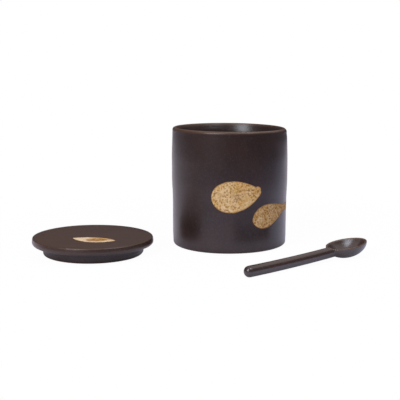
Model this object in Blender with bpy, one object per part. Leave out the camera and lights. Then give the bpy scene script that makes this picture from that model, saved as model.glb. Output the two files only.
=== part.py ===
"""A small stoneware jar with a loose lid and its own spoon, laid out on a table top.

Run it with blender --background --python part.py, or from Blender's text editor.
Metres, +Z up. The origin is the middle of the jar's flat foot, and +Y points away from the front.
The jar stands open. The lid lies to its left on its plug ring, and the spoon lies in front of it.
"""

import math

import bmesh
import bpy
from mathutils import Matrix, Vector

# The jar: a straight wall, a little fuller in its middle than at the foot and the shoulder.
JAR_HEIGHT = 0.0921
JAR_RADIUS = 0.0455
JAR_FOOT_RADIUS = 0.0450
JAR_SHOULDER_RADIUS = 0.0448
JAR_WALL = 0.0060
JAR_FLOOR = 0.0065
JAR_FOOT_ROUND = 0.0016
JAR_INNER_ROUND = 0.0070
WAIST_LOW = 0.0380
WAIST_HIGH = 0.0490
SHOULDER_LOW = 0.0700
SHOULDER_HIGH = 0.0890

# The foot draws in by a hair, and the lip is tight outside and eased off in a slope inside.
FOOT_TAPER = 0.0004
FOOT_TAPER_HEIGHT = 0.0090
LIP_ROUND = 0.0019
LIP_CREST_ROUND = 0.0011
LIP_SLOPE_WIDTH = 0.0026
LIP_SLOPE_DEPTH = 0.0065
LIP_SLOPE_ROUND = 0.0100

# The lid: a plate with a rounded edge, as wide as the jar, over a plug ring that drops into its mouth.
LID_PLATE = 0.0056
LID_TOP_ROUND = 0.0015
LID_UNDER_ROUND = 0.0026
PLUG_CLEARANCE = 0.0012
PLUG_HEIGHT = 0.0070
PLUG_WALL = 0.0060
PLUG_ROUND = 0.0014
PLUG_INNER_ROUND = 0.0011
PLATE_FILLET = 0.0009
RECESS_ROUND = 0.0016

# The spoon: a round handle that runs into the heel of an egg-shaped bowl. The bowl is round as a
# pebble outside. Its hollow is a shallower dish that slopes all the way from a softly rolled lip.
HANDLE_LENGTH = 0.0776
HANDLE_END_RADIUS = 0.0040
HANDLE_NECK_RADIUS = 0.0040
HANDLE_OVER_RIM = 0.0012
BOWL_LENGTH = 0.0360
BOWL_WIDTH = 0.0244
BOWL_DEPTH = 0.01025
BOWL_WALL = 0.0016
BOWL_HOLLOW = 0.0078
LIP_OUTER = 0.0004
LIP_SLOPE = math.radians(50)
BOWL_PITCH = math.radians(5.06)
BOWL_EGG = 0.07

# Where the loose pieces lie: gaps between edges, and bearings counted from +X towards +Y.
LID_GAP = 0.0196
LID_BEARING = math.radians(198.97)
SPOON_GAP = 0.0354
SPOON_BEARING = math.radians(-52.1)
SPOON_BEFORE = 0.0600

# How finely the round shapes are drawn.
TURNED_STEPS = 64
HANDLE_SIDES = 28
BOWL_SIDES = 48
LIP_STEPS = 8
CORNER_STEPS = 4
BOWL_RINGS = 10
HANDLE_RINGS = 9
MERGE = 1e-7
SHARP_CORNER = math.radians(40)

# A round end stops this many degrees short of its pole and closes with a small flat disc.
POLE_GAP = 8

# The handle may meet the bowl's wall no lower than this share of the bowl's depth.
LOWEST_ROOT = 0.9

# Colours of the fired glaze, in linear values.
GLAZE_COLOUR = (0.040, 0.029, 0.030, 1.0)
GLAZE_ROUGHNESS = 0.42


def clear_scene():
    for thing in list(bpy.data.objects):
        bpy.data.objects.remove(thing)


def glaze(name):
    """A dark stoneware glaze with a soft shine."""
    material = bpy.data.materials.new(name)
    material.use_nodes = True
    shader = material.node_tree.nodes["Principled BSDF"]
    shader.inputs["Base Color"].default_value = GLAZE_COLOUR
    shader.inputs["Roughness"].default_value = GLAZE_ROUGHNESS
    shader.inputs["Metallic"].default_value = 0.0
    return material


def arc(centre, radius, start, end, steps):
    """Points along an arc from one angle to another, in degrees; (0, 0) to the right is 0."""
    points = []
    for step in range(steps + 1):
        angle = math.radians(start + (end - start) * step / steps)
        points.append((centre[0] + radius * math.cos(angle), centre[1] + radius * math.sin(angle)))
    return points


def as_object(name, shape, material=None):
    """Makes an object of a finished bmesh, shaded smooth apart from its sharp corners."""
    mesh = bpy.data.meshes.new(name)
    shape.to_mesh(mesh)
    shape.free()
    mesh.shade_smooth()
    mesh.set_sharp_from_angle(angle=SHARP_CORNER)
    if material:
        mesh.materials.append(material)
    piece = bpy.data.objects.new(name, mesh)
    bpy.context.scene.collection.objects.link(piece)
    return piece


def turned(outline):
    """Spins an outline of (radius, height) points, from axis to axis, into a closed solid."""
    shape = bmesh.new()
    verts = [shape.verts.new((radius, 0.0, height)) for radius, height in outline]
    for lower, upper in zip(verts, verts[1:]):
        shape.edges.new((lower, upper))
    bmesh.ops.spin(
        shape,
        geom=shape.verts[:] + shape.edges[:],
        cent=(0, 0, 0),
        axis=(0, 0, 1),
        angle=math.tau,
        steps=TURNED_STEPS,
        use_merge=True,
    )
    bmesh.ops.remove_doubles(shape, verts=shape.verts[:], dist=MERGE)
    bmesh.ops.recalc_face_normals(shape, faces=shape.faces[:])
    return shape


def lofted(rings, sides):
    """Extrudes a circle from ring to ring and closes both ends. A ring is a matrix for a unit circle."""
    shape = bmesh.new()
    bmesh.ops.create_circle(shape, segments=sides, radius=1.0, matrix=rings[0])
    edges = shape.edges[:]
    for before, after in zip(rings, rings[1:]):
        grown = bmesh.ops.extrude_edge_only(shape, edges=edges)["geom"]
        verts = [part for part in grown if isinstance(part, bmesh.types.BMVert)]
        edges = [part for part in grown if isinstance(part, bmesh.types.BMEdge) and part.is_boundary]
        bmesh.ops.transform(shape, matrix=after @ before.inverted(), verts=verts)
    bmesh.ops.holes_fill(shape, edges=shape.edges[:], sides=sides)
    bmesh.ops.recalc_face_normals(shape, faces=shape.faces[:])
    return shape


def flat_ring(half_length, half_width, height):
    return Matrix.Translation((0, 0, height)) @ Matrix.Diagonal((half_length, half_width, 1, 1))


def rounded(corners):
    """An outline through (radius, height, rounding) corners, with an arc at each rounded one."""
    outline = []
    for place, (radius, height, rounding) in enumerate(corners):
        corner = Vector((radius, height))
        if not rounding:
            outline.append(corner)
            continue
        back = (Vector(corners[place - 1][:2]) - corner).normalized()
        on = (Vector(corners[place + 1][:2]) - corner).normalized()
        half = back.angle(on) / 2
        centre = corner + (back + on).normalized() * rounding / math.sin(half)
        start = corner + back * rounding / math.tan(half) - centre
        end = corner + on * rounding / math.tan(half) - centre
        for step in range(CORNER_STEPS + 1):
            outline.append(centre + start.slerp(end, step / CORNER_STEPS) * rounding)
    return outline


# The jar

def jar_outline():
    mouth = JAR_RADIUS - JAR_WALL
    inner_foot = JAR_FOOT_RADIUS - JAR_WALL
    return rounded(
        [
            (0, 0, 0),
            (JAR_FOOT_RADIUS - FOOT_TAPER, 0, JAR_FOOT_ROUND),
            (JAR_FOOT_RADIUS, FOOT_TAPER_HEIGHT, 0),
            (JAR_FOOT_RADIUS, WAIST_LOW, 0),
            (JAR_RADIUS, WAIST_HIGH, 0),
            (JAR_RADIUS, SHOULDER_LOW, 0),
            (JAR_SHOULDER_RADIUS, SHOULDER_HIGH, 0),
            (JAR_SHOULDER_RADIUS, JAR_HEIGHT, LIP_ROUND),
            (mouth + LIP_SLOPE_WIDTH, JAR_HEIGHT, LIP_CREST_ROUND),
            (mouth, JAR_HEIGHT - LIP_SLOPE_DEPTH, LIP_SLOPE_ROUND),
            (mouth, WAIST_HIGH, 0),
            (inner_foot, WAIST_LOW, 0),
            (inner_foot, JAR_FLOOR, JAR_INNER_ROUND),
            (0, JAR_FLOOR, 0),
        ]
    )


def make_jar(material):
    return as_object("jar", turned(jar_outline()), material)


# The lid

def lid_outline():
    plug = JAR_RADIUS - JAR_WALL - PLUG_CLEARANCE
    inner = plug - PLUG_WALL
    top = PLUG_HEIGHT + LID_PLATE
    return rounded(
        [
            (0, PLUG_HEIGHT, 0),
            (inner, PLUG_HEIGHT, RECESS_ROUND),
            (inner, 0, PLUG_INNER_ROUND),
            (plug, 0, PLUG_ROUND),
            (plug, PLUG_HEIGHT, PLATE_FILLET),
            (JAR_RADIUS, PLUG_HEIGHT, LID_UNDER_ROUND),
            (JAR_RADIUS, top, LID_TOP_ROUND),
            (0, top, 0),
        ]
    )


def make_lid(material):
    """The lid lies beside the jar on its plug ring, as when it has just been taken off."""
    lid = as_object("lid", turned(lid_outline()), material)
    away = 2 * JAR_RADIUS + LID_GAP
    lid.location = (away * math.cos(LID_BEARING), away * math.sin(LID_BEARING), 0)
    return lid


# The spoon, which is modelled along +X with its round end over the origin

def rim_height():
    """Height of the rim's middle, where the tilted bowl just touches the table."""
    belly = BOWL_DEPTH - LIP_OUTER
    tilt = BOWL_LENGTH / 2 * math.sin(BOWL_PITCH)
    return math.hypot(tilt, belly * math.cos(BOWL_PITCH)) + LIP_OUTER * math.cos(BOWL_PITCH)


def bowl_place():
    middle = HANDLE_LENGTH + BOWL_LENGTH / 2 * math.cos(BOWL_PITCH)
    return Matrix.Translation((middle, 0, rim_height())) @ Matrix.Rotation(-BOWL_PITCH, 4, "Y")


def pebble():
    """Rings of the bowl's outside, from its bottom up to its lip."""
    rings = []
    for step in range(1, BOWL_RINGS + 1):
        angle = math.radians(90 * step / BOWL_RINGS)
        height = -LIP_OUTER - (BOWL_DEPTH - LIP_OUTER) * math.cos(angle)
        rings.append(flat_ring(BOWL_LENGTH / 2 * math.sin(angle), BOWL_WIDTH / 2 * math.sin(angle), height))
    return rings


def dish(inset, depth, lip):
    """Rings of a dish that slopes all the way, from its bottom up to its lip, drawn in by an inset."""
    rings = []
    for step in range(1, BOWL_RINGS + 1):
        share = step / BOWL_RINGS
        height = -lip - (depth - lip) * (1 - share * share)
        rings.append(flat_ring((BOWL_LENGTH / 2 - inset) * share, (BOWL_WIDTH / 2 - inset) * share, height))
    return rings


def roll_radius():
    """The radius that the lip needs inside, to turn from level to its slope within the wall."""
    return (BOWL_WALL - LIP_OUTER) / math.sin(LIP_SLOPE)


def bowl_lip():
    """Rings over the lip: a small quarter round outside, then a wider roll into the hollow."""
    places = []
    for inward, height in arc((LIP_OUTER, -LIP_OUTER), LIP_OUTER, 180, 90, CORNER_STEPS)[1:]:
        places.append((inward, height))
    roll = arc((LIP_OUTER, -roll_radius()), roll_radius(), 90, 90 - math.degrees(LIP_SLOPE), CORNER_STEPS)
    places += roll[1:-1]
    return [flat_ring(BOWL_LENGTH / 2 - inward, BOWL_WIDTH / 2 - inward, height) for inward, height in places]


def egg_shaped(shape):
    """Widens the bowl towards its heel and narrows it towards its tip."""
    for vert in shape.verts:
        vert.co.y *= 1 - BOWL_EGG * vert.co.x / (BOWL_LENGTH / 2)
    return shape


def neck_height():
    """The handle's axis at the heel, where its top stands a little over the bowl's rim."""
    heel = rim_height() - BOWL_LENGTH / 2 * math.sin(BOWL_PITCH)
    return heel + HANDLE_OVER_RIM - HANDLE_NECK_RADIUS


def root_length():
    """How far past the heel the underside of the handle reaches the middle of the bowl's wall."""
    inset = BOWL_WALL / 2
    depth = BOWL_DEPTH - LIP_OUTER - inset
    below = min((2 * HANDLE_NECK_RADIUS - HANDLE_OVER_RIM) / depth, LOWEST_ROOT)
    return BOWL_LENGTH / 2 - (BOWL_LENGTH / 2 - inset) * math.sqrt(1 - below * below)


def handle_ring(along, radius, rise):
    """A ring square to the handle's gently rising axis, turned half a side off the bowl's corners."""
    share = max(along, 0) / HANDLE_LENGTH
    slope = math.atan(2 * rise * share / HANDLE_LENGTH)
    place = Matrix.Translation((along, 0, HANDLE_END_RADIUS + rise * share * share))
    turn = Matrix.Rotation(math.pi / 2 - slope, 4, "Y") @ Matrix.Rotation(math.pi / HANDLE_SIDES, 4, "Z")
    return place @ turn @ Matrix.Diagonal((radius, radius, 1, 1))


def handle_rings():
    """The round end, then the handle, which rises in an even curve and runs on into the bowl."""
    rise = neck_height() - HANDLE_END_RADIUS
    rings = []
    for back, radius in arc((0, 0), HANDLE_END_RADIUS, 180 - POLE_GAP, 90, LIP_STEPS)[:-1]:
        rings.append(handle_ring(back, radius, rise))
    reach = HANDLE_LENGTH + root_length()
    for step in range(HANDLE_RINGS + 1):
        along = reach * step / HANDLE_RINGS
        share = along / HANDLE_LENGTH
        radius = HANDLE_END_RADIUS + (HANDLE_NECK_RADIUS - HANDLE_END_RADIUS) * share
        rings.append(handle_ring(along, radius, rise))
    return rings


def hollow_cut():
    """The space over the hollow, from the middle of its wall upwards, widening as the lip does."""
    inset = BOWL_WALL / 2
    below = BOWL_HOLLOW + inset / 2
    outward = HANDLE_NECK_RADIUS / math.tan(LIP_SLOPE) - inset
    above = flat_ring(BOWL_LENGTH / 2 + outward, BOWL_WIDTH / 2 + outward, HANDLE_NECK_RADIUS)
    return dish(inset, below, 0) + [above]


def helper(piece, spoon, place):
    """Parents a shape that only cuts or joins to the spoon, and keeps it out of the render."""
    piece.parent = spoon
    piece.matrix_local = place
    piece.hide_render = True
    piece.display_type = "WIRE"
    return piece


def boolean(piece, name, operation, other):
    modifier = piece.modifiers.new(name, "BOOLEAN")
    modifier.operation = operation
    modifier.solver = "EXACT"
    modifier.object = other


def make_spoon(material):
    spoon = as_object("spoon", lofted(handle_rings(), HANDLE_SIDES), material)
    lip_drop = roll_radius() * (1 - math.cos(LIP_SLOPE))
    inside = dish(BOWL_WALL, BOWL_HOLLOW, lip_drop)[::-1]
    shell = egg_shaped(lofted(pebble() + bowl_lip() + inside, BOWL_SIDES))
    hollow = egg_shaped(lofted(hollow_cut(), BOWL_SIDES))
    trim = helper(as_object("handle_trim", hollow), spoon, bowl_place())
    bowl = helper(as_object("spoon_bowl", shell, material), spoon, bowl_place())
    boolean(spoon, "trim handle to bowl wall", "DIFFERENCE", trim)
    boolean(spoon, "join bowl", "UNION", bowl)
    nearest = JAR_RADIUS + SPOON_GAP + BOWL_WIDTH / 2
    turn = SPOON_BEARING + math.pi / 2
    spoon.location = (
        nearest * math.cos(SPOON_BEARING) - SPOON_BEFORE * math.cos(turn),
        nearest * math.sin(SPOON_BEARING) - SPOON_BEFORE * math.sin(turn),
        0,
    )
    spoon.rotation_euler = (0, 0, turn)
    return spoon


def main():
    clear_scene()
    make_jar(glaze("jar glaze"))
    make_lid(glaze("lid glaze"))
    make_spoon(glaze("spoon glaze"))


main()
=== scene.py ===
# %% [markdown]
# # A stoneware jar with its lid and spoon
#
# This lesson dresses three pieces of pottery: a small straight-sided jar, its lid, which lies beside
# it on its plug ring, and a ceramic spoon. All three carry one dark brown glaze. On the jar and the
# lid the potter kept the glaze off a few petal shapes with wax, so bare, speckled clay shows there.
#
# The sizes come from the imported model, so it is loaded first. Its box is kept, to be printed beside
# the finished pieces' box at the end.

# %% Load the imported model
import math

import bmesh
import bpy
from mathutils import Matrix, Vector, noise


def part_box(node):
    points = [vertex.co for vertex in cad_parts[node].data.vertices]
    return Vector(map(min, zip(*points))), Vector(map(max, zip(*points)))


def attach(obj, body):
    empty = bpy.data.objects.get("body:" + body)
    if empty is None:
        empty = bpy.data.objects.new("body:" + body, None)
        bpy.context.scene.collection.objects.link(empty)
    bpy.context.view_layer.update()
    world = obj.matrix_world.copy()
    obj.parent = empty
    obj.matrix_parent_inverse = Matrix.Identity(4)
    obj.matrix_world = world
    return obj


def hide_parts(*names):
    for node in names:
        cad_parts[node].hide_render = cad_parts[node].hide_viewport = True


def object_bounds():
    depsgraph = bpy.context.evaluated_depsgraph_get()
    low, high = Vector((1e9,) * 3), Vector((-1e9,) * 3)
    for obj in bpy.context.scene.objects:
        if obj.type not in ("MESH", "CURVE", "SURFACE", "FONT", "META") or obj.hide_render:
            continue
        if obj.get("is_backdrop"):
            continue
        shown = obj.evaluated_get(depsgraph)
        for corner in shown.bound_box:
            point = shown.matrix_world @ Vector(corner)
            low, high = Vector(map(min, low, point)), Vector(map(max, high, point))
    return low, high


MM = 0.001  # one millimetre in the scene's metres

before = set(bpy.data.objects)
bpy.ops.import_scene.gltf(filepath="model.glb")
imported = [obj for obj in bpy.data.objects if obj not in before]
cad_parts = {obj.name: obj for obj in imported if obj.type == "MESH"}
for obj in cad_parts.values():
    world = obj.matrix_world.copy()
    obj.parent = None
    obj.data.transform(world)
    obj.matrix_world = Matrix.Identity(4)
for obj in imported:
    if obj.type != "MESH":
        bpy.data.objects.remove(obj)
scene = bpy.context.scene
cad_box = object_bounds()

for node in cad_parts:
    low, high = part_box(node)
    print(node, "measures", [round(side / MM, 1) for side in high - low], "mm")

# %% [markdown]
# ## The camera
#
# A camera is a place, a direction and a lens. Here the place was found by fitting the three pieces'
# outlines to the photograph: low, a little to the left of the jar, and tipped down by less than ten
# degrees. The lens is a long one, so the far side of the rim is hardly smaller than the near side.

# %% Place the camera
CAMERA_PLACE = (-23.45 * MM, -661.2 * MM, 146.6 * MM)
CAMERA_DIP = math.radians(9.66)
CAMERA_LENS = 75.78  # millimetres, on a sensor 36 mm wide

camera_lens = bpy.data.cameras.new("camera")
camera_lens.lens = CAMERA_LENS
camera_lens.sensor_width = 36.0
camera_lens.clip_start = 10 * MM
camera = bpy.data.objects.new("camera", camera_lens)
camera.location = CAMERA_PLACE
camera.rotation_euler = (math.radians(90) - CAMERA_DIP, 0, 0)
scene.collection.objects.link(camera)
scene.camera = camera
print("camera stands", round(-camera.location.y, 3), "m in front of the jar's axis")

# %% [markdown]
# ## Sums with sockets
#
# A material is a graph of small nodes. Wired one by one, even a short formula fills a page, and
# nobody can read it. So one class wraps an output socket and gives it Python's operators. An
# expression such as 1 - mask then adds its Math nodes by itself. Every other kind of node comes from
# the method node, which sets the node's settings first and then its sockets, by value or by link.


# %% A socket that can be used in sums
class Field:
    """An output socket of a node tree. Sums with it add Math nodes to the tree."""

    def __init__(self, tree, socket=None):
        self.tree = tree
        self.socket = socket

    def node(self, kind, settings=None, sockets=None, output=0):
        """Adds one node: its settings first, then the values or links of its sockets."""
        made = self.tree.nodes.new(kind)
        for name, value in (settings or {}).items():
            setattr(made, name, value)
        for name, value in (sockets or {}).items():
            self.feed(made.inputs[name], value)
        return Field(self.tree, made.outputs[output])

    def parts(self):
        """All outputs of the same node, such as the three of Separate XYZ."""
        return [Field(self.tree, socket) for socket in self.socket.node.outputs]

    def feed(self, target, value):
        if isinstance(value, Field):
            self.tree.links.new(value.socket, target)
        else:
            target.default_value = value

    def maths(self, operation, *values):
        return self.node("ShaderNodeMath", {"operation": operation}, dict(enumerate(values)))

    def __add__(self, other):
        return self.maths("ADD", self, other)

    __radd__ = __add__

    def __sub__(self, other):
        return self.maths("SUBTRACT", self, other)

    def __rsub__(self, other):
        return self.maths("SUBTRACT", other, self)

    def __mul__(self, other):
        return self.maths("MULTIPLY", self, other)

    __rmul__ = __mul__

    def __truediv__(self, other):
        return self.maths("DIVIDE", self, other)

    def __pow__(self, other):
        return self.maths("POWER", self, other)

    def __abs__(self):
        return self.maths("ABSOLUTE", self)


print("a Field understands + - * / ** and abs()")

# %% [markdown]
# A few formulas come back in every finish, so each gets a name: the larger or the smaller of two
# values, a soft step from 0 to 1 between two limits, and a mix of two colours. Soft steps are used
# throughout, because a hard one would give a jagged edge.


# %% Small formulas
def larger(one, other):
    return one.maths("MAXIMUM", one, other)


def smaller(one, other):
    return one.maths("MINIMUM", one, other)


def step(value, start, end):
    """Rises smoothly from 0 at start to 1 at end, or falls where end is the smaller."""
    sockets = {"Value": value, "From Min": start, "From Max": end}
    return value.node("ShaderNodeMapRange", {"interpolation_type": "SMOOTHSTEP"}, sockets)


def mixed(share, none, full):
    """A colour between two colours: the first where share is 0, the second where it is 1."""
    return share.node("ShaderNodeMix", {"data_type": "RGBA"}, {0: share, 6: none, 7: full}, output=2)


print("formulas ready:", larger.__name__, smaller.__name__, step.__name__, mixed.__name__)

# %% [markdown]
# ## The studio
#
# The photograph has a plain white ground. White ground must not mean more light on the pottery, or
# the dark glaze would turn grey. So the world and the floor answer differently to different rays. To
# a camera ray both are plain white. To the light that reaches the pottery, the world is a dim room and
# the floor a white board on a darker table.

# %% A dim room that the camera sees as white
WHITE = (1, 1, 1, 1)
ROOM = (1.0, 0.92, 1.02, 1.0)
ROOM_STRENGTH = 0.12

world = bpy.data.worlds.new("studio room")
world.use_nodes = True
scene.world = world
room = Field(world.node_tree)
seen = room.node("ShaderNodeLightPath", output="Is Camera Ray")
grey = room.node("ShaderNodeBackground", {}, {"Color": ROOM, "Strength": ROOM_STRENGTH})
white = room.node("ShaderNodeBackground", {}, {"Color": WHITE, "Strength": 1.0})
ground = room.node("ShaderNodeMixShader", {}, {0: seen, 1: grey, 2: white})
room.feed(world.node_tree.nodes["World Output"].inputs["Surface"], ground)
print("room strength", ROOM_STRENGTH)

# %% [markdown]
# The floor's white for the camera is complete far from the pieces. Close by, a small share of it is
# left to the real light, so that a faint contact shadow stays.
#
# The shine on the pottery needs the floor too. The jar's wall is upright and the camera looks down,
# so the wall mirrors the floor, never a lamp: the two cool strips down its sides are nothing but the
# white paper behind it, seen at a glancing angle, where any glaze turns into a mirror. The middle of
# the wall stays dark, because it mirrors the front of the table, towards the dark end of the room. So
# a glossy ray sees paper that is white round a point behind the jar and falls off away from it. It is
# a little bluer towards the front right. Wherever a piece stands over it, the paper is painted dark, a
# painted shade that the Ambient Occlusion node places: without that the hidden paper would glow under
# the lid and the spoon.

# %% Measures of the floor
FLOOR_SIZE = 6.0
FLOOR_DROP = 0.02 * MM  # keeps the floor clear of the feet that stand on it
BOARD = (0.78, 0.80, 0.86, 1.0)
TABLE = (0.10, 0.10, 0.11, 1.0)
BOARD_REACH = (0.22, 0.62)  # metres from the jar's axis between which white turns to dark
SHADOW_REACH = (0.14, 0.30)  # metres from the axis over which the real shadow fades out
CAMERA_SHADOW = 0.03  # its share in what the camera sees close by
PAPER = (1.0, 0.94, 1.08, 1.0)  # the paper as a glossy ray sees it
PAPER_COOL = (0.96, 1.0, 1.34, 1.0)
PAPER_COOLING = (-0.15, 0.35)  # metres to the right plus metres to the front
# the far end of the paper, and also the painted shade under the pieces
PAPER_END_AND_SHADE = (0.07, 0.06, 0.065, 1.0)
PAPER_MIDDLE = (-0.12, 0.42, 0)  # behind the jar, in metres
PAPER_REACH = (0.52, 0.98)  # metres from that point between which it falls off
HIDDEN_REACH = 0.02  # how near a piece must stand to darken the mirrored paper
print("mirrored paper is white for", PAPER_REACH[0], "m round a point behind the jar")

# %% A white floor that keeps a faint shadow
floor_paint = bpy.data.materials.new("floor")
floor_paint.use_nodes = True
paint = Field(floor_paint.node_tree)
spot = paint.node("ShaderNodeTexCoord", output="Object")
away = paint.node("ShaderNodeVectorMath", {"operation": "LENGTH"}, {0: spot}, output="Value")
seen = paint.node("ShaderNodeLightPath", output="Is Camera Ray")
mirrored = paint.node("ShaderNodeLightPath", output="Is Glossy Ray")
board = mixed(seen, mixed(step(away, *BOARD_REACH), BOARD, TABLE), WHITE)
lit = paint.node("ShaderNodeBsdfDiffuse", {}, {"Color": board})
behind = paint.node("ShaderNodeVectorMath", {"operation": "DISTANCE"}, {0: spot, 1: PAPER_MIDDLE}, "Value")
east, north = paint.node("ShaderNodeSeparateXYZ", {}, {0: spot}).parts()[:2]
white_paper = mixed(step(east - north, *PAPER_COOLING), PAPER, PAPER_COOL)
paper = mixed(step(behind, *PAPER_REACH), white_paper, PAPER_END_AND_SHADE)
open_sky = paint.node("ShaderNodeAmbientOcclusion", {}, {"Distance": HIDDEN_REACH}, output="AO")
# painted shade: the mirrored paper turns dark where the Ambient Occlusion node finds a piece over it
glow_colour = mixed(mirrored, WHITE, mixed(open_sky, PAPER_END_AND_SHADE, paper))
glow = paint.node("ShaderNodeEmission", {}, {"Color": glow_colour, "Strength": 1.0})
near = step(away, SHADOW_REACH[1], SHADOW_REACH[0])
share = seen * (1 - near * CAMERA_SHADOW) + mirrored
surface = paint.node("ShaderNodeMixShader", {}, {0: share, 1: lit, 2: glow})
paint.feed(floor_paint.node_tree.nodes["Material Output"].inputs["Surface"], surface)
print("floor's paint has", len(floor_paint.node_tree.nodes), "nodes")

# %% [markdown]
# The floor itself is one large square, so that the mirrored paper ends by its colour and never by an
# edge. It lies a hair below the pieces, or faces in one plane would flicker under the feet.

# %% Lay the floor
sheet = bmesh.new()
bmesh.ops.create_grid(sheet, x_segments=1, y_segments=1, size=FLOOR_SIZE / 2)
floor_mesh = bpy.data.meshes.new("floor")
sheet.to_mesh(floor_mesh)
sheet.free()
floor_mesh.materials.append(floor_paint)
floor = bpy.data.objects.new("floor", floor_mesh)
floor.location.z = -FLOOR_DROP
scene.collection.objects.link(floor)
floor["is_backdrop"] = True
print("floor", FLOOR_SIZE, "m square")

# %% [markdown]
# The lamps are three soft boxes, and each one is known from its shine on the pottery. The key is a
# tall one in front on the left: it glints on the handle's round end, lights the lip, the lid's front
# edge and the far wall inside the jar, and leaves the jar's right half darker. A wide one behind on the
# right lights the tops and runs along the handle's upper edge. A small one on the right shines in the
# hollow of the spoon.


# %% Set up three soft boxes
AIM = Vector((-20 * MM, -30 * MM, 40 * MM))


def soft_box(name, bearing, height, distance, size, power, colour):
    """A rectangular lamp at a bearing from the front and a height, both in degrees, facing the jar."""
    lamp = bpy.data.lights.new(name, "AREA")
    lamp.shape = "RECTANGLE"
    lamp.size, lamp.size_y = size
    lamp.energy = power
    lamp.color = colour
    turn, rise = math.radians(bearing), math.radians(height)
    away = Vector((math.sin(turn) * math.cos(rise), -math.cos(turn) * math.cos(rise), math.sin(rise)))
    stand = bpy.data.objects.new(name, lamp)
    stand.location = AIM + away * distance
    stand.rotation_euler = away.to_track_quat("Z", "Y").to_euler()
    scene.collection.objects.link(stand)
    print(name, "at bearing", bearing, "and height", height, "gives", power, "W")


soft_box("key light", -36, 35, 1.1, (0.42, 0.72), 8.3, (0.89, 0.93, 1.0))
soft_box("wide ceiling", 140, 68, 1.0, (1.50, 1.50), 5.5, (1.0, 0.90, 0.86))
soft_box("small light", 52, 58, 0.85, (0.32, 0.32), 2.1, (0.82, 0.88, 1.0))

# %% [markdown]
# ## Where a pattern sits
#
# All three finishes are painted on Object coordinates, which stay with a piece wherever it moves.
# They are turned into millimetres once, so that every later number is a size that can be measured on
# the pot. A cloud is a noise with features of a given size, from 0 to 1, and centred near 0.5.


# %% Millimetres on a piece, and clouds of a given size
def place_in_mm(start, centre=(0, 0, 0)):
    """The point being coloured, in millimetres from a centre."""
    coordinates = start.node("ShaderNodeTexCoord", output="Object")
    shift = {"Location": tuple(-value / MM for value in centre), "Scale": (1 / MM, 1 / MM, 1 / MM)}
    return start.node("ShaderNodeMapping", {"vector_type": "POINT"}, {"Vector": coordinates, **shift})


def cloud(place, size, detail=2.0, harsh=0.5, stretch=(1, 1, 1)):
    """Noise with features about size millimetres across, drawn out where stretch is over 1."""
    if stretch != (1, 1, 1):
        squeeze = tuple(1 / value for value in stretch)
        sockets = {0: place, 1: squeeze}
        place = place.node("ShaderNodeVectorMath", {"operation": "MULTIPLY"}, sockets)
    sockets = {"Vector": place, "Scale": 1 / size, "Detail": detail, "Roughness": harsh}
    return place.node("ShaderNodeTexNoise", {}, sockets)


print("clouds ready")

# %% [markdown]
# ## The glaze
#
# A dark iron glaze is never one colour. It is red-brown where it is thin and nearly black where
# it has pooled, it is peppered with iron specks, and on lips and edges it runs thin and breaks to a
# lighter brown. Its shine is soft: the surface is full of tiny crystals. Two clouds say where it has
# pooled and run, a third gives the specks, a fourth dulls it in patches, and a fifth, with the specks,
# makes the surface gently uneven. Clouds suit it better than a picture would, because they are defined
# all through the piece, so no seam shows on the far side or over the lip.

# %% Colours and grain of the glaze
GLAZE_BROWN = (0.038, 0.018, 0.0145, 1.0)
GLAZE_BLACK = (0.022, 0.0115, 0.010, 1.0)
GLAZE_SPECK = (0.050, 0.036, 0.034, 1.0)
GLAZE_THIN = (0.125, 0.066, 0.038, 1.0)
GLAZE_ROUGHNESS = 0.25
# Sizes of its clouds in millimetres
POOL_SIZE = 30
RUN_SIZE = 8
DULL_SIZE = 11
WAVE_SIZE = 2.6
SPECK_SIZE = 1.2


def dark_glaze(place, thin, warmth=0.5, gloss=0.0):
    """Colour, roughness and height of the glaze.

    Thin is 1 where it breaks over an edge. More warmth leaves less of it black, and gloss is taken
    off its roughness.
    """
    pools = cloud(place, POOL_SIZE, 3.0)
    runs = cloud(place, RUN_SIZE, stretch=(1, 1, 3))
    pooled = step(pools * 0.7 + runs * 0.3, warmth - 0.2, warmth + 0.2)
    colour = mixed(pooled, GLAZE_BROWN, GLAZE_BLACK)
    specks = step(cloud(place, SPECK_SIZE, 3.0, 0.6), 0.48, 0.72)
    colour = mixed(specks * 0.6, colour, GLAZE_SPECK)
    colour = mixed(thin, colour, GLAZE_THIN)
    dull = cloud(place, DULL_SIZE, 4.0, 0.6)
    roughness = dull * 0.12 + thin * 0.12 + (GLAZE_ROUGHNESS - gloss)
    height = specks * 0.3 + cloud(place, WAVE_SIZE) * 0.9
    return colour, roughness, height


print("glaze from", GLAZE_BROWN[:3], "to", GLAZE_BLACK[:3])

# %% [markdown]
# ## The bare clay
#
# Under the glaze the body is a buff stoneware, full of iron spots that melt out as brown specks.
# Bare clay is matt. Where it meets the glaze it is stained a deeper orange brown for about a
# millimetre, because some glaze soaks in past the wax. One cloud of grain makes both the pale and the
# dark sand, its low values the one and its high values the other, so the two never overlap.

# %% Colours and grain of the clay
CLAY_BUFF = (0.65, 0.37, 0.11, 1.0)
CLAY_PALE = (0.86, 0.655, 0.41, 1.0)
CLAY_SPOT = (0.26, 0.095, 0.016, 1.0)
CLAY_IRON = (0.12, 0.038, 0.008, 1.0)
CLAY_STAIN = (0.33, 0.135, 0.032, 1.0)
# darker clay for the smudge, and for the second petal, where it is partly painted shade
CLAY_SMUDGE_AND_SHADE = (0.25, 0.11, 0.035, 1.0)
SAND_SIZE = 1.3
IRON_SIZE = 1.8
PORE_SIZE = 0.5
STAIN_WIDTH = 1.1
CLEAR_OF_STAIN = 9  # so many millimetres inside an edge no stain shows


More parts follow.
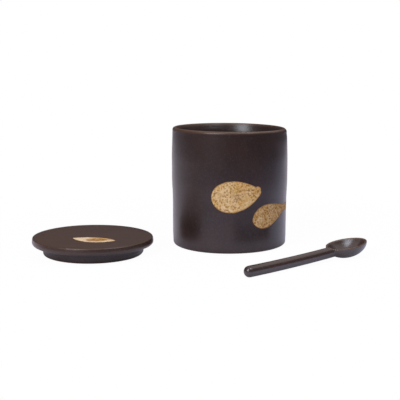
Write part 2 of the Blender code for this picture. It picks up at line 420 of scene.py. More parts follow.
def bare_clay(place, inside, body, grain, irons=0.8):
    """Colour, roughness and height of clay of a body colour, inside mm from the glaze's edge.

    Grain and irons say how strong its dark sand and its iron spots are.
    """
    sand = cloud(place, SAND_SIZE, harsh=0.6)
    iron = step(cloud(place, IRON_SIZE, harsh=0.6), 0.62, 0.70)
    colour = mixed(step(sand, 0.50, 0.36) * 0.4, body, CLAY_PALE)
    colour = mixed(step(sand, 0.50, 0.66) * grain, colour, CLAY_SPOT)
    colour = mixed(iron * irons, colour, CLAY_IRON)
    colour = mixed(step(inside, STAIN_WIDTH, 0.0) * 0.7, colour, CLAY_STAIN)
    roughness = 0.95 - iron * 0.1
    height = cloud(place, PORE_SIZE, harsh=0.6) * 0.5
    return colour, roughness, height


print("clay from", CLAY_BUFF[:3], "to", CLAY_PALE[:3])

# %% [markdown]
# ## Petal-shaped windows
#
# A petal painted in wax is round where the brush is set down and narrows as it is drawn away. One
# law gives all of them: half its width is width x share^round x (1 - share)^taper, where share runs
# from 0 at the round end to 1 at the tip. The result is not a mask but a distance from the edge in
# millimetres. Clouds are added to that distance, so the outline frays as wax does, and the same
# distance later gives the stain just inside the edge.


# %% The law of a petal
def petal(across, up, start, angle, length, width, blunt, taper, bend=0.0):
    """Distance inside a petal's edge in mm, negative outside. Start is its round end's (across, up)."""
    turn = math.radians(angle)
    east = across - start[0]
    north = up - start[1]
    along = east * math.cos(turn) + north * math.sin(turn)
    share = smaller(larger(along / length, 0.0), 1.0)
    sway = (share - 0.4) ** 2.0 * bend
    aside = abs(north * math.cos(turn) - east * math.sin(turn) - sway)
    half_width = share**blunt * (1 - share) ** taper * width
    inside = smaller(half_width - aside, along + 0.2)
    return smaller(inside, length + 0.2 - along)


print("petal law ready")

# %% [markdown]
# ## Laying clay and glaze in one material
#
# The glaze is a skin a tenth of a millimetre or two thick, and the windows lie below it. A finish
# therefore mixes the colour, roughness and height of the two by one mask, and the step in height
# goes with them into a Bump node, which shades the little cliff round each window.


# %% Put a glaze and a clay into one material
SKIN = 0.12 * MM


def pottery(name, paint_piece, shine=0.5):
    """A material whose colour, roughness and height come from paint_piece(start)."""
    material = bpy.data.materials.new(name)
    material.use_nodes = True
    shader = material.node_tree.nodes["Principled BSDF"]
    start = Field(material.node_tree)
    colour, roughness, height = paint_piece(start)
    bump = start.node("ShaderNodeBump", {}, {"Strength": 1.0, "Distance": SKIN, "Height": height})
    start.feed(shader.inputs["Base Color"], colour)
    start.feed(shader.inputs["Roughness"], roughness)
    start.feed(shader.inputs["Normal"], bump)
    shader.inputs["Specular IOR Level"].default_value = shine
    print(name, "has", len(material.node_tree.nodes), "nodes")
    return material


def laid_over(mask, clay, glaze):
    """The glaze where mask is 0 and bare clay, a step lower, where it is 1."""
    colour = mixed(mask, glaze[0], clay[0])
    roughness = glaze[1] + (clay[1] - glaze[1]) * mask
    height = (glaze[2] * 0.25 + 1.5) * (1 - mask) + clay[2] * mask * 0.5
    return colour, roughness, height


print("skin", SKIN / MM, "mm thick")

# %% [markdown]
# ## Turning a pot
#
# A pot comes off the wheel as a surface of revolution, and bmesh makes one the same way. Half of
# its cross-section is drawn as a wire, from the axis out and back to the axis. Each corner is given
# as radius, height and rounding. Bevelling a single vertex of the wire rounds it, and how far the
# bevel reaches along the wire follows from the corner's angle.


# %% How far a rounding reaches
def bevel_reach(corners, place):
    """How far an arc of the corner's rounding reaches along the two edges that meet there."""
    before, corner, after = (Vector(corners[place + side][:2]) for side in (-1, 0, 1))
    return corners[place][2] / math.tan((before - corner).angle(after - corner) / 2)


square_corner = [(0, 0, 0), (10, 0, 2), (10, 10, 0)]
print("a rounding of 2 mm on a square corner reaches", round(bevel_reach(square_corner, 1), 2), "mm")

# %% [markdown]
# Once its corners are rounded, long runs of wire are cut, so that the wall has rings that can be
# nudged later. Then spin turns the wire. A Screw modifier would turn it as well, but the operator
# leaves a plain mesh whose seam and poles can be welded shut at once.

# %% Turn an outline into a closed pot
TURNED_STEPS = 160
ROUND_STEPS = 8
RING_GAP = 2.5  # millimetres between the wall's rings
WELD = 0.001 * MM


def turned(corners):
    """Spins (radius, height, rounding) corners in mm, from axis to axis, into a closed solid."""
    shape = bmesh.new()
    verts = [shape.verts.new((corner[0] * MM, 0, corner[1] * MM)) for corner in corners]
    for one, other in zip(verts, verts[1:]):
        shape.edges.new((one, other))
    for place in range(1, len(corners) - 1):
        if not corners[place][2]:
            continue
        bmesh.ops.bevel(
            shape,
            geom=[verts[place]],
            offset=bevel_reach(corners, place) * MM,
            offset_type="OFFSET",
            segments=ROUND_STEPS,
            profile=0.5,
            affect="VERTICES",
            material=-1,
        )
    for edge in shape.edges[:]:
        cuts = int(edge.calc_length() / (RING_GAP * MM))
        if cuts:
            bmesh.ops.subdivide_edges(shape, edges=[edge], cuts=cuts)
    bmesh.ops.spin(
        shape,
        geom=shape.verts[:] + shape.edges[:],
        cent=(0, 0, 0),
        axis=(0, 0, 1),
        angle=math.tau,
        steps=TURNED_STEPS,
        use_merge=True,
    )
    bmesh.ops.remove_doubles(shape, verts=shape.verts[:], dist=WELD)
    bmesh.ops.recalc_face_normals(shape, faces=shape.faces[:])
    return shape


print("a turned pot has", TURNED_STEPS, "steps round")

# %% [markdown]
# A finished shape becomes a piece in one place: its mesh is smoothed, it gets its material, it
# replaces its plain node, and it rides on the body of the same name.

# %% Make a piece of a finished shape
SHARP_EDGE = math.radians(50)


def as_piece(name, shape, material, node):
    """Puts a bmesh shape on its body in place of the plain node, and frees the shape."""
    mesh = bpy.data.meshes.new(name)
    shape.to_mesh(mesh)
    shape.free()
    mesh.shade_smooth()
    mesh.set_sharp_from_angle(angle=SHARP_EDGE)
    mesh.materials.append(material)
    piece = bpy.data.objects.new(name, mesh)
    scene.collection.objects.link(piece)
    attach(piece, node)
    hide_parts(node)
    print(name, "has", len(mesh.polygons), "faces")


print("edges over", round(math.degrees(SHARP_EDGE)), "degrees stay sharp")

# %% [markdown]
# ## The jar
#
# The jar is a straight wall about 6 mm thick, half a millimetre fuller from the petals up than
# below them. Its lip is tight on the outside and eased off in a long slope on the inside, where the
# lid's plug has to find its way in. The outline goes from the middle of the foot, up the outside,
# over the lip and down the inside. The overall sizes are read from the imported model. Roundings of
# 100 mm and more are no edges: they let one stretch of the wall run softly into the next.

# %% The jar's outline
low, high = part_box("jar")
WALL = 6.0
BELLY = (high.x - low.x) / 2 / MM
JAR_HEIGHT = (high.z - low.z) / MM
FOOT = BELLY - 0.5
SHOULDER = BELLY - 0.7
MOUTH = BELLY - WALL
FLOOR_THICK = 6.5

jar_corners = [
    (0, 0, 0),
    (FOOT - 0.4, 0, 1.7),  # the foot's edge
    (FOOT, 9, 100),
    (FOOT, 38, 160),
    (BELLY, 49, 160),  # fuller from here up
    (BELLY, 70, 160),
    (SHOULDER, 89, 0),
    (SHOULDER, JAR_HEIGHT, 1.9),  # the lip, tight outside
    (MOUTH + 2.6, JAR_HEIGHT, 1.1),  # and sloping inside
    (MOUTH, JAR_HEIGHT - 6.5, 12),
    (MOUTH, 49, 100),
    (MOUTH - 0.5, 38, 100),
    (MOUTH - 0.5, FLOOR_THICK, 7),  # where the inside meets the floor
    (0, FLOOR_THICK, 0),
]
jar_shape = turned(jar_corners)
print("jar turned:", len(jar_shape.verts), "vertices")

# %% [markdown]
# No pot is as true as its drawing. This one's rim dips from left to right by three quarters of a
# millimetre, and its shoulder is rounder on the right, where a thumb or the kiln has let it sag. The
# wall wavers by a tenth of a millimetre or two, and the foot has come off the shelf slightly at the
# front. These moves are small beside the wall, so they are made on the finished mesh, vertex by
# vertex: a sculpted jar could not be measured or changed so easily.

# %% How far the jar strays from true, in millimetres
RIM_TILT = 0.008  # height lost per millimetre to the right
TILT_START = 30  # height from which the tilt grows
SHOULDER_SAG = 0.85  # how far the right shoulder has sunk
SAG_HEIGHTS = (84, JAR_HEIGHT)
SAG_RADII = (41.5, BELLY)
SHOULDER_DRAWN = 0.35  # how far the right shoulder is drawn in
DRAWN_HEIGHTS = (83, 90)
DRAWN_RADII = (41, 44)
FOOT_LIFT = 0.6  # how far the foot's edge is lifted at the front right
FRONT_LIFT = 0.35  # and in front
LIFT_HEIGHTS = (5, 0)
LIFT_RADII = (41, FOOT)
LEFT_FULLER = 0.2  # how much further out the left side stands above the petals
FULLER_HEIGHTS = (40, 55)
WAVER = 0.16
WAVER_SCALE = 0.028  # waves per millimetre
WAVER_HEIGHTS = (2, 12)  # none at the foot, which stands flat


def eased(value, start, end):
    """The same soft step as in the materials, for plain numbers."""
    share = min(max((value - start) / (end - start), 0), 1)
    return share * share * (3 - 2 * share)


print("rim dips by", round(RIM_TILT * 2 * BELLY, 2), "mm from left to right")

# %% Let the jar be hand made
for vert in jar_shape.verts:
    across, back, height = vert.co / MM
    out = math.hypot(across, back)
    high_up = eased(height, TILT_START, JAR_HEIGHT)
    if out > 1:
        push = noise.noise((vert.co / MM).xyz * WAVER_SCALE) * WAVER * eased(height, *WAVER_HEIGHTS)
        push += LEFT_FULLER * max(-across / out, 0) ** 2 * eased(height, *FULLER_HEIGHTS)
        right = max(across / out, 0) ** 3
        push -= SHOULDER_DRAWN * right * eased(height, *DRAWN_HEIGHTS) * eased(out, *DRAWN_RADII)
        vert.co.x += push * across / out * MM
        vert.co.y += push * back / out * MM
        sag = SHOULDER_SAG * right * eased(height, *SAG_HEIGHTS) * eased(out, *SAG_RADII)
        front_right = max((across - back) / out / math.sqrt(2), 0) ** 3
        front = max(-back / out, 0) ** 6
        lift = FOOT_LIFT * front_right + FRONT_LIFT * front
        lift *= eased(height, *LIFT_HEIGHTS) * eased(out, *LIFT_RADII)
        vert.co.z += (lift - sag) * MM
    vert.co.z -= across * RIM_TILT * high_up * MM
jar_shape.normal_update()
print("jar's top now at", round(max(v.co.z for v in jar_shape.verts) / MM, 2), "mm")

# %% [markdown]
# The jar's finish wraps the flat petal law round the wall: the bearing times the radius is the
# distance across. Two petals fall from upper right to lower left. The second one's stalk goes on
# round the right side. The underside is wiped bare, or the pot would stick to its shelf in the kiln.

# %% Where the jar's windows lie
WRAP_RADIUS = 45.0
# Round end (across, up), angle, length, width, bluntness, taper and bend of each petal
FIRST_PETAL = ((-15.3, 42.05), 6.27, 38.9, 28.67, 0.517, 0.792, 1.37)
SECOND_PETAL = ((16.28, 25.60), 10.92, 48.9, 37.5, 0.639, 1.936, -4.68)
STALK = ((77.0, 32.9), 183.0, 36.0, 3.5, 0.2, 0.2)
NUB = (20.0, 48.5)  # a drop of wax at the first petal's tip
NUB_RADIUS = 2.9
NUB_STEEPNESS = 1.6


def petals(across, up):
    """Distances inside the first and the second petal, in millimetres."""
    nub_across = (across - NUB[0]) / NUB_RADIUS
    nub_up = (up - NUB[1]) / NUB_RADIUS
    nub = (1 - nub_across * nub_across - nub_up * nub_up) * NUB_STEEPNESS
    first = larger(petal(across, up, *FIRST_PETAL), nub)
    second = larger(petal(across, up, *SECOND_PETAL), petal(across, up, *STALK))
    return first, second


print("petals", FIRST_PETAL[2], "and", SECOND_PETAL[2], "mm long")

# %% [markdown]
# The clay in the windows isn't even either. The second petal is painted darker and redder all over:
# partly its own clay, partly painted shade, as it turns away from the key light. The first has a
# smudge, a calm patch with hardly any spots, and a busy tip. Each is a soft disc or a soft step, and
# changes how much the clay's colours are mixed.

# %% The jar's finish
SMUDGE = (4.0, 44.0)  # middles of the smudge and the calm patch, across and up
CALM = (11.0, 40.0)
OUTER_WALL = (42.5, 43.5)  # radii between which the mask passes from inside to outside
FRAY = 1.5
WINDOW_EDGE = 0.22  # half the width of the soft edge between glaze and clay
LIP_THIN = 0.65
FOOT_THIN = 0.5
PATCH_SIZE = 7


def disc(across, up, east, north):
    """How far a point of the wall lies from a given one, in millimetres."""
    return ((across - east) ** 2.0 + (up - north) ** 2.0) ** 0.5


def jar_paint(start):
    place = place_in_mm(start)
    x, y, z = place.node("ShaderNodeSeparateXYZ", {}, {0: place}).parts()
    across = start.maths("ARCTAN2", x, 0 - y) * WRAP_RADIUS
    out = start.maths("SQRT", x * x + y * y)

    first, second = petals(across, z)
    fray = (cloud(place, SAND_SIZE, harsh=0.6) - 0.5) * FRAY
    inside = larger(first, second) + fray
    window = step(inside, -WINDOW_EDGE, WINDOW_EDGE) * step(out, *OUTER_WALL)
    foot = step(z, 0.30, 0.10) * step(out, FOOT - 0.3, FOOT - 1.3)

    lip = step(z, JAR_HEIGHT - 2.8, JAR_HEIGHT - 0.4)
    glaze = dark_glaze(place, lip * LIP_THIN + step(z, 1.5, 0.5) * FOOT_THIN)
    # the second petal's darker clay, partly its own tone and partly painted shade
    second_tone_and_shade = step(second - first, -2, 2)
    patches = step(cloud(place, PATCH_SIZE, 3.0, 0.6), 0.42, 0.66)
    smudge = step(disc(across, z, *SMUDGE), 5.5, 1.0)
    calm = step(disc(across, z, *CALM), 6.0, 3.0)
    body = mixed(patches * 0.4, CLAY_BUFF, CLAY_PALE)
    busy_tip = step(across, 11, 16) * step(z, 39, 44)
    body = mixed(larger(second_tone_and_shade * 0.30, smudge * 0.35), body, CLAY_SMUDGE_AND_SHADE)
    grain = smaller(0.80 + second_tone_and_shade * 0.1 - calm * 0.5 + busy_tip * 0.2, 1.0)
    irons = 0.6 - second_tone_and_shade * 0.3 - calm * 0.6 + busy_tip * 0.3
    clay = bare_clay(place, inside + foot * CLEAR_OF_STAIN, body, grain, irons)
    return laid_over(larger(window, foot), clay, glaze)


as_piece("jar_body", jar_shape, pottery("jar_finish", jar_paint), "jar")

# %% [markdown]
# ## The lid
#
# The lid is turned too: a flat plate with a rounded edge over a plug ring that drops into the
# mouth. The edge is rounder below than above, and its side leans in a little, so it has a dark band
# under the light line of its corner. The lid stands on its ring beside the jar, so the outline starts
# under the plate, inside the ring, and the lid is moved to its place as a mesh.

# %% Turn the lid
low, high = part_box("lid")
lid_middle = Vector(((low.x + high.x) / 2, (low.y + high.y) / 2, 0))
LID_RADIUS = (high.x - low.x) / 2 / MM + 0.2  # a hair fuller than packed
LID_HEIGHT = (high.z - low.z) / MM - 0.1  # the tilt below adds the rest
PLATE = 5.6
UNDER_PLATE = LID_HEIGHT - PLATE
PLUG_RADIUS = 38.3
PLUG_INSIDE = PLUG_RADIUS - WALL

lid_corners = [
    (0, UNDER_PLATE, 0),
    (PLUG_INSIDE, UNDER_PLATE, 1.6),
    (PLUG_INSIDE, 0, 1.1),  # the ring, open below
    (PLUG_RADIUS, 0, 1.4),
    (PLUG_RADIUS, UNDER_PLATE, 0.9),
    (LID_RADIUS, UNDER_PLATE, 2.3),  # the plate's edge
    (LID_RADIUS, LID_HEIGHT - 2.6, 6),
    (LID_RADIUS - 0.45, LID_HEIGHT, 0.9),  # its corner, drawn in a little
    (0, LID_HEIGHT, 0),
]
lid_shape = turned(lid_corners)
print("lid turned:", len(lid_shape.verts), "vertices")

# %% [markdown]
# The plate sits a little crooked on its ring: in the photograph the front left of the lid stands
# about a millimetre higher than the back right, while the ring is flat on the table. So the
# heights are raised by a tilt that grows from nothing at the table to its full size at the plate. The
# ring is not quite in the middle either, and its right end is pressed in a little.

# %% Tilt the plate and put the lid in its place
PLATE_TILT = Vector((-0.009, -0.006))  # height gained per millimetre to the right and to the back
PLUG_SHIFT = 0.7  # the ring sits this far to the right under the plate
PLUG_FLAT = 0.9  # how far the ring is pressed in at its right end
LID_WAVER = 0.10
LID_WAVER_SCALE = 0.03
LID_WAVER_PLANE = 40  # where the flat plate cuts the noise
TILT_HEIGHTS = (1.5, 6)

for vert in lid_shape.verts:
    across, back, height = vert.co / MM
    wave = noise.noise(Vector((across, back, LID_WAVER_PLANE)) * LID_WAVER_SCALE) * LID_WAVER
    high_up = eased(height, *TILT_HEIGHTS)
    vert.co.z += (PLATE_TILT.dot((across, back)) + wave) * high_up * MM
    vert.co.x += PLUG_SHIFT * (1 - high_up) * MM
    out = math.hypot(across, back)
    if height < UNDER_PLATE + 0.2 and out > 1:
        ring_wall = eased(out, 35, 37) * eased(out, 43, 39)
        vert.co.x -= PLUG_FLAT * max(across / out, 0) ** 10 * ring_wall * MM
lid_shape.normal_update()
bmesh.ops.translate(lid_shape, vec=lid_middle, verts=lid_shape.verts[:])
print("lid lies", round(lid_middle.length / MM, 1), "mm from the jar's axis")

# %% [markdown]
# The lid has one leaf-shaped window, made with the same brush and law as the petals. A film of glaze
# ran over its right half and burnt to a brown streak. The leaf's left part is painted paler, a painted
# sheen where the light glances off the bare clay, and a band below the streak is paler as well. The
# glaze is thin over the whole top and breaks at the edge. The ring's foot is bare, since the lid is
# fired standing on it.

# %% The lid's finish
LEAF = ((-14.6, -9.3), -15.5, 33.8, 27.3, 0.88, 0.80, 6.0)
LEAF_STREAK = ((-4.0, -14.6), 9, 16.0, 8.5, 0.5, 0.5)
LEAF_FRAY = 0.6
LEAF_EDGE = 0.25
TOP_THIN = 0.42
EDGE_THIN = 0.15
LID_WARMTH = 0.58


def lid_paint(start):
    place = place_in_mm(start, lid_middle)
    x, y, z = place.node("ShaderNodeSeparateXYZ", {}, {0: place}).parts()
    out = start.maths("SQRT", x * x + y * y)

    fray = (cloud(place, 3.5) - 0.5) * LEAF_FRAY
    inside = petal(x, y, *LEAF) + fray
    window = step(inside, -LEAF_EDGE, LEAF_EDGE) * step(z, LID_HEIGHT - 1, LID_HEIGHT - 0.6)
    ring = step(z, 0.65, 0.4)

    top = step(z, LID_HEIGHT - 1.0, LID_HEIGHT - 0.3)
    edge = step(out, LID_RADIUS - 3.2, LID_RADIUS - 0.6) * step(z, UNDER_PLATE + 0.2, UNDER_PLATE + 2)
    glaze = dark_glaze(place, larger(top * TOP_THIN, edge * EDGE_THIN), LID_WARMTH)
    streak = petal(x, y, *LEAF_STREAK)
    burnt = step(streak + (cloud(place, 5, 3.0, 0.6) - 0.5) * 5, -1.5, 1.5)
    # painted sheen on the leaf's left part, and a paler band below the streak
    sheen_and_pale_band = larger(step(x, 3, -5), step(streak, -1, -4) * step(y, -13, -17))
    body = mixed(sheen_and_pale_band, CLAY_BUFF, CLAY_PALE)
    body = mixed(burnt, body, CLAY_STAIN)
    clay = bare_clay(place, inside + ring * CLEAR_OF_STAIN, body, grain=0.2, irons=0.1)
    return laid_over(larger(window, ring), clay, glaze)


as_piece("lid_body", lid_shape, pottery("lid_finish", lid_paint), "lid")

# %% [markdown]
# ## The spoon
#
# The spoon is the one piece that was never on the wheel. Its handle is a rolled coil, round at the
# end, that rises in a shallow curve to the heel of an egg-shaped bowl. Both are lofts: a circle is
# extruded from ring to ring, and each ring is put in its place by a matrix. A loft keeps every
# section a true circle or ellipse, which a sculpted ball would lose.


# %% Loft a circle from ring to ring
def lofted(rings, sides):
    """Extrudes a unit circle through the rings' matrices and closes both ends."""
    shape = bmesh.new()
    bmesh.ops.create_circle(shape, segments=sides, radius=1.0, matrix=rings[0])
    edges = shape.edges[:]
    for before, after in zip(rings, rings[1:]):
        grown = bmesh.ops.extrude_edge_only(shape, edges=edges)["geom"]
        verts = [part for part in grown if isinstance(part, bmesh.types.BMVert)]
        edges = [part for part in grown if isinstance(part, bmesh.types.BMEdge) and part.is_boundary]
        bmesh.ops.transform(shape, matrix=after @ before.inverted(), verts=verts)
    bmesh.ops.holes_fill(shape, edges=shape.edges[:], sides=sides)
    bmesh.ops.recalc_face_normals(shape, faces=shape.faces[:])
    return shape


print("loft ready")

# %% [markdown]
# The spoon lies on the table on the end of its handle and the bottom of its bowl. That fixes every
# height: the bowl is a half ellipsoid that touches the table and is pitched by five degrees, and the
# top of the handle ends a little above the heel of the bowl's rim.

# %% Sizes of the spoon
HANDLE_LENGTH = 77.6
HANDLE_RADIUS = 4.0
BOWL_HALF_LENGTH = 18.0
BOWL_HALF_WIDTH = 12.2
BOWL_DEPTH = 10.25
BOWL_WALL = 1.6
BOWL_PITCH = math.radians(5.06)
BOWL_EGG = 0.07  # by which share the heel is wider and the tip narrower
OVER_RIM = 1.2  # how far the handle's top stands above the heel of the rim
HANDLE_TURN = math.radians(37.9)
SPOON_END = Vector((9.845 * MM, -110.321 * MM, 0))  # middle of the handle's round end

LIP_OUTER = 0.4  # how far the lip's outer rounding reaches down
LIP_SLOPE = math.radians(50)  # the slope at which the lip rolls into the hollow
LIP_INNER = (BOWL_WALL - LIP_OUTER) * math.tan(LIP_SLOPE / 2)
BOWL_HOLLOW = 7.8

belly = BOWL_DEPTH - LIP_OUTER
tilt = BOWL_HALF_LENGTH * math.sin(BOWL_PITCH)
RIM_HEIGHT = math.hypot(tilt, belly * math.cos(BOWL_PITCH)) + LIP_OUTER * math.cos(BOWL_PITCH)
NECK_HEIGHT = RIM_HEIGHT - tilt + OVER_RIM - HANDLE_RADIUS
BOWL_MIDDLE = HANDLE_LENGTH + BOWL_HALF_LENGTH * math.cos(BOWL_PITCH)
print("bowl's rim at", round(RIM_HEIGHT, 2), "mm and handle's axis at the neck", round(NECK_HEIGHT, 2))

# %% [markdown]
# The handle's first rings lie round its end like the parallels of a globe. The others stand square to
# its axis, a little under two millimetres apart, so it stays equally thick through the curve. The coil
# runs on into the bowl, past the wall, and is cut off later.


# %% The handle
HANDLE_SIDES = 48
END_RINGS = 10
END_START = 4  # degrees round the end at which its first ring lies
AXIS_RINGS = 45
INTO_BOWL = 8.5  # how far the coil runs on into the bowl before it is cut


def handle_ring(along, radius):
    """A ring square to the handle's axis, which rises with the square of the way along."""
    rise = NECK_HEIGHT - HANDLE_RADIUS
    share = max(along, 0) / HANDLE_LENGTH
    slope = math.atan(2 * rise * share / HANDLE_LENGTH)
    place = Matrix.Translation((along * MM, 0, (HANDLE_RADIUS + rise * share * share) * MM))
    turn = Matrix.Rotation(math.pi / 2 - slope, 4, "Y")
    return place @ turn @ Matrix.Diagonal((radius * MM, radius * MM, 1, 1))


rings = []
for count in range(END_RINGS):
    angle = math.radians(END_START + (90 - END_START) * count / END_RINGS)
    rings.append(handle_ring(-HANDLE_RADIUS * math.cos(angle), HANDLE_RADIUS * math.sin(angle)))
for count in range(AXIS_RINGS + 1):
    rings.append(handle_ring((HANDLE_LENGTH + INTO_BOWL) * count / AXIS_RINGS, HANDLE_RADIUS))
handle_shape = lofted(rings, HANDLE_SIDES)
print("handle has", len(handle_shape.faces), "faces")

# %% [markdown]
# The bowl is a shell. Outside it is half an ellipsoid, round as a pebble. Inside it is a shallower
# dish that slopes all the way, scraped out with a loop, so the wall is thicker below than at the rim.
# The rings go from the bottom of the outside up to the rim, over the lip and down the inside. After
# that the heel is made wider than the tip.


# %% The bowl's rings
BOWL_RINGS = 24


def flat_ring(half_length, half_width, height):
    place = Matrix.Translation((0, 0, height * MM))
    return place @ Matrix.Diagonal((half_length * MM, half_width * MM, 1, 1))


def pebble():
    """Rings of half an ellipsoid, from its bottom to the lip's rounding."""
    rings = []
    for count in range(1, BOWL_RINGS + 1):
        angle = math.radians(90 * count / BOWL_RINGS)
        drop = (BOWL_DEPTH - LIP_OUTER) * math.cos(angle) + LIP_OUTER
        size = Vector((BOWL_HALF_LENGTH, BOWL_HALF_WIDTH)) * math.sin(angle)
        rings.append(flat_ring(size.x, size.y, -drop))
    return rings


def dish(inset, depth, lip):
    """Rings of a dish that slopes all the way, drawn in by an inset, from its bottom to its lip."""
    rings = []
    for count in range(1, BOWL_RINGS + 1):
        share = count / BOWL_RINGS
        drop = depth - (depth - lip) * share**2
        size = Vector((BOWL_HALF_LENGTH - inset, BOWL_HALF_WIDTH - inset)) * share
        rings.append(flat_ring(size.x, size.y, -drop))
    return rings


print("pebble and dish have", BOWL_RINGS, "rings each")

# %% [markdown]
# The lip is what the eye follows on a spoon. Outside it is nearly sharp, so it draws a thin light
# line. Inside it rolls over softly, as a damp sponge leaves it, and meets the dish at a slope of
# about fifty degrees. So it is two arcs, a tiny one outside and a wide one inside.


# %% The bowl's lip
LIP_RINGS = 12


def slanted_lip():
    """Rings over a lip that is nearly sharp outside and rolls softly into the hollow."""
    rings = []
    for count in range(1, LIP_RINGS):
        angle = math.radians(180 * count / LIP_RINGS)
        inward = LIP_OUTER - LIP_OUTER * math.cos(angle)
        height = LIP_OUTER * (math.sin(angle) - 1)
        if count > LIP_RINGS / 2:
            roll = (count * 2 / LIP_RINGS - 1) * LIP_SLOPE
            radius = (BOWL_WALL - LIP_OUTER) / math.sin(LIP_SLOPE)
            inward = LIP_OUTER + radius * math.sin(roll)
            height = radius * (math.cos(roll) - 1)
        rings.append(flat_ring(BOWL_HALF_LENGTH - inward, BOWL_HALF_WIDTH - inward, height))
    return rings


print("lip rolls in over", BOWL_WALL, "mm")

# %% [markdown]
# Besides the bowl, the space inside it is lofted as a solid of its own. It starts in the middle of
# the wall and widens above the rim. All it is for is to cut the handle off, so that no clay sticks
# out into the hollow and the coil still reaches half way into the wall.


# %% Loft the bowl and the space inside it
BOWL_SIDES = 96


def placed_bowl(rings):
    """Lofts rings, makes the heel end wider than the tip, and tips the bowl on to the handle."""
    shape = lofted(rings, BOWL_SIDES)
    for vert in shape.verts:
        vert.co.y *= 1 - BOWL_EGG * vert.co.x / (BOWL_HALF_LENGTH * MM)
    middle = Vector((BOWL_MIDDLE, 0, RIM_HEIGHT))
    place = Matrix.Translation(middle * MM) @ Matrix.Rotation(-BOWL_PITCH, 4, "Y")
    bmesh.ops.transform(shape, matrix=place, verts=shape.verts[:])
    return shape


half_wall = BOWL_WALL / 2
outward = HANDLE_RADIUS / math.tan(LIP_SLOPE) - half_wall
above = flat_ring(BOWL_HALF_LENGTH + outward, BOWL_HALF_WIDTH + outward, HANDLE_RADIUS)
bowl_shape = placed_bowl(pebble() + slanted_lip() + dish(BOWL_WALL, BOWL_HOLLOW, LIP_INNER)[::-1])
hollow_shape = placed_bowl(dish(half_wall, BOWL_HOLLOW + half_wall / 2, 0) + [above])
print("bowl has", len(bowl_shape.faces), "faces")

# %% [markdown]
# A potter sticks the two together wet and smears clay over the joint. Three modifiers do the same:
# a Boolean cuts the handle off inside the bowl's wall, another joins the bowl, and a voxel remesh
# melts both into one skin of small even squares. A bevel along the seam would take fewer faces, but
# it tears on long thin faces like these. The helpers are deleted once the skin has been copied.

# %% Melt handle and bowl into one
VOXEL = 0.26 * MM


def helper(name, shape):
    mesh = bpy.data.meshes.new(name)
    shape.to_mesh(mesh)
    shape.free()
    made = bpy.data.objects.new(name, mesh)
    scene.collection.objects.link(made)
    return made


handle, bowl, hollow = (
    helper(name, shape)
    for name, shape in (("handle", handle_shape), ("bowl", bowl_shape), ("hollow", hollow_shape))
)
for name, operation, other in (("cut", "DIFFERENCE", hollow), ("join", "UNION", bowl)):
    boolean = handle.modifiers.new(name, "BOOLEAN")
    boolean.operation = operation
    boolean.solver = "EXACT"
    boolean.object = other
melt = handle.modifiers.new("melt", "REMESH")
melt.mode = "VOXEL"
melt.voxel_size = VOXEL
melted = handle.evaluated_get(bpy.context.evaluated_depsgraph_get())
spoon_shape = bmesh.new()
spoon_shape.from_mesh(melted.to_mesh())
melted.to_mesh_clear()
for made in (handle, bowl, hollow):
    bpy.data.meshes.remove(made.data)
print("melted skin has", len(spoon_shape.faces), "faces")

# %% [markdown]
# The melted skin still has the stairs of its squares, and a hard groove at the joint. Smoothing moves
# each vertex towards its neighbours: many rounds at the joint run a soft fillet round it, as a wet
# finger does, some take the stairs off the handle, and a few do for the rest. Then the spoon is turned
# and laid in front of the jar.

# %% Smooth the skin and lay the spoon down
JOINT_MIDDLE = HANDLE_LENGTH + 1.5
JOINT_REACH = 3.5
COIL_END = HANDLE_LENGTH - 1
JOINT_ROUNDS = 24
HANDLE_ROUNDS = 12
SMOOTH_ROUNDS = 3


def smoothed(shape, rounds, verts):
    """Moves each vertex half of the way to the middle of its neighbours, a number of times."""
    for count in range(rounds):
        axes = {"use_axis_x": True, "use_axis_y": True, "use_axis_z": True}
        bmesh.ops.smooth_vert(shape, verts=verts, factor=0.5, **axes)


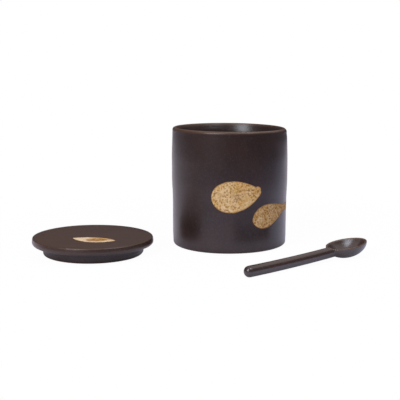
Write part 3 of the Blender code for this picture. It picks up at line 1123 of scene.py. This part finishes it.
coil = [vert for vert in spoon_shape.verts if vert.co.x / MM < COIL_END]
near_joint = [vert for vert in spoon_shape.verts if abs(vert.co.x / MM - JOINT_MIDDLE) < JOINT_REACH]
smoothed(spoon_shape, HANDLE_ROUNDS, coil)
smoothed(spoon_shape, JOINT_ROUNDS, near_joint)
smoothed(spoon_shape, SMOOTH_ROUNDS, spoon_shape.verts[:])
spoon_place = Matrix.Translation(SPOON_END) @ Matrix.Rotation(HANDLE_TURN, 4, "Z")
bmesh.ops.transform(spoon_shape, matrix=spoon_place, verts=spoon_shape.verts[:])
print("spoon's top at", round(max(v.co.z for v in spoon_shape.verts) / MM, 2), "mm")

# %% [markdown]
# The spoon is glazed all over and fired on a prop, so it has no bare clay. Its glaze is a little
# smoother and shinier than the jar's, and breaks to brown along the bowl's rim. To find the rim, the
# paint turns the place back into the spoon's own directions.


# %% The spoon's finish
RIM_THIN = 0.65
SPOON_WARMTH = 0.62
SPOON_GLOSS = 0.03
SPOON_BUMP = 0.2
SPOON_SHINE = 0.80


def spoon_paint(start):
    place = place_in_mm(start)
    x, y, z = place.node("ShaderNodeSeparateXYZ", {}, {0: place}).parts()
    east = x - SPOON_END.x / MM
    north = y - SPOON_END.y / MM
    along = east * math.cos(HANDLE_TURN) + north * math.sin(HANDLE_TURN) - BOWL_MIDDLE
    below_rim = along * math.tan(BOWL_PITCH) + RIM_HEIGHT - z
    rim = step(below_rim, 1.3, 0.3) * step(along, 1 - BOWL_HALF_LENGTH, 3 - BOWL_HALF_LENGTH)
    thin = cloud(place, 9) * 0.16 + rim * RIM_THIN
    colour, roughness, height = dark_glaze(place, thin, SPOON_WARMTH, SPOON_GLOSS)
    return colour, roughness, height * SPOON_BUMP


as_piece("spoon_body", spoon_shape, pottery("spoon_finish", spoon_paint, shine=SPOON_SHINE), "spoon")

# %% [markdown]
# ## Print the sizes and finish
#
# The dressed pieces must stay the size of the imported ones, or the lid would no longer fit the jar in
# the simulation. Both boxes are printed side by side.

# %% Print the two boxes and finish
dressed_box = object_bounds()
boxes = {
    "cad": [list(corner) for corner in cad_box],
    "visual": [list(corner) for corner in dressed_box],
}
for label, (low, high) in boxes.items():
    print(label, "box", [round((b - a) / MM, 2) for a, b in zip(low, high)], "mm")

scene.view_settings.view_transform = "Standard"
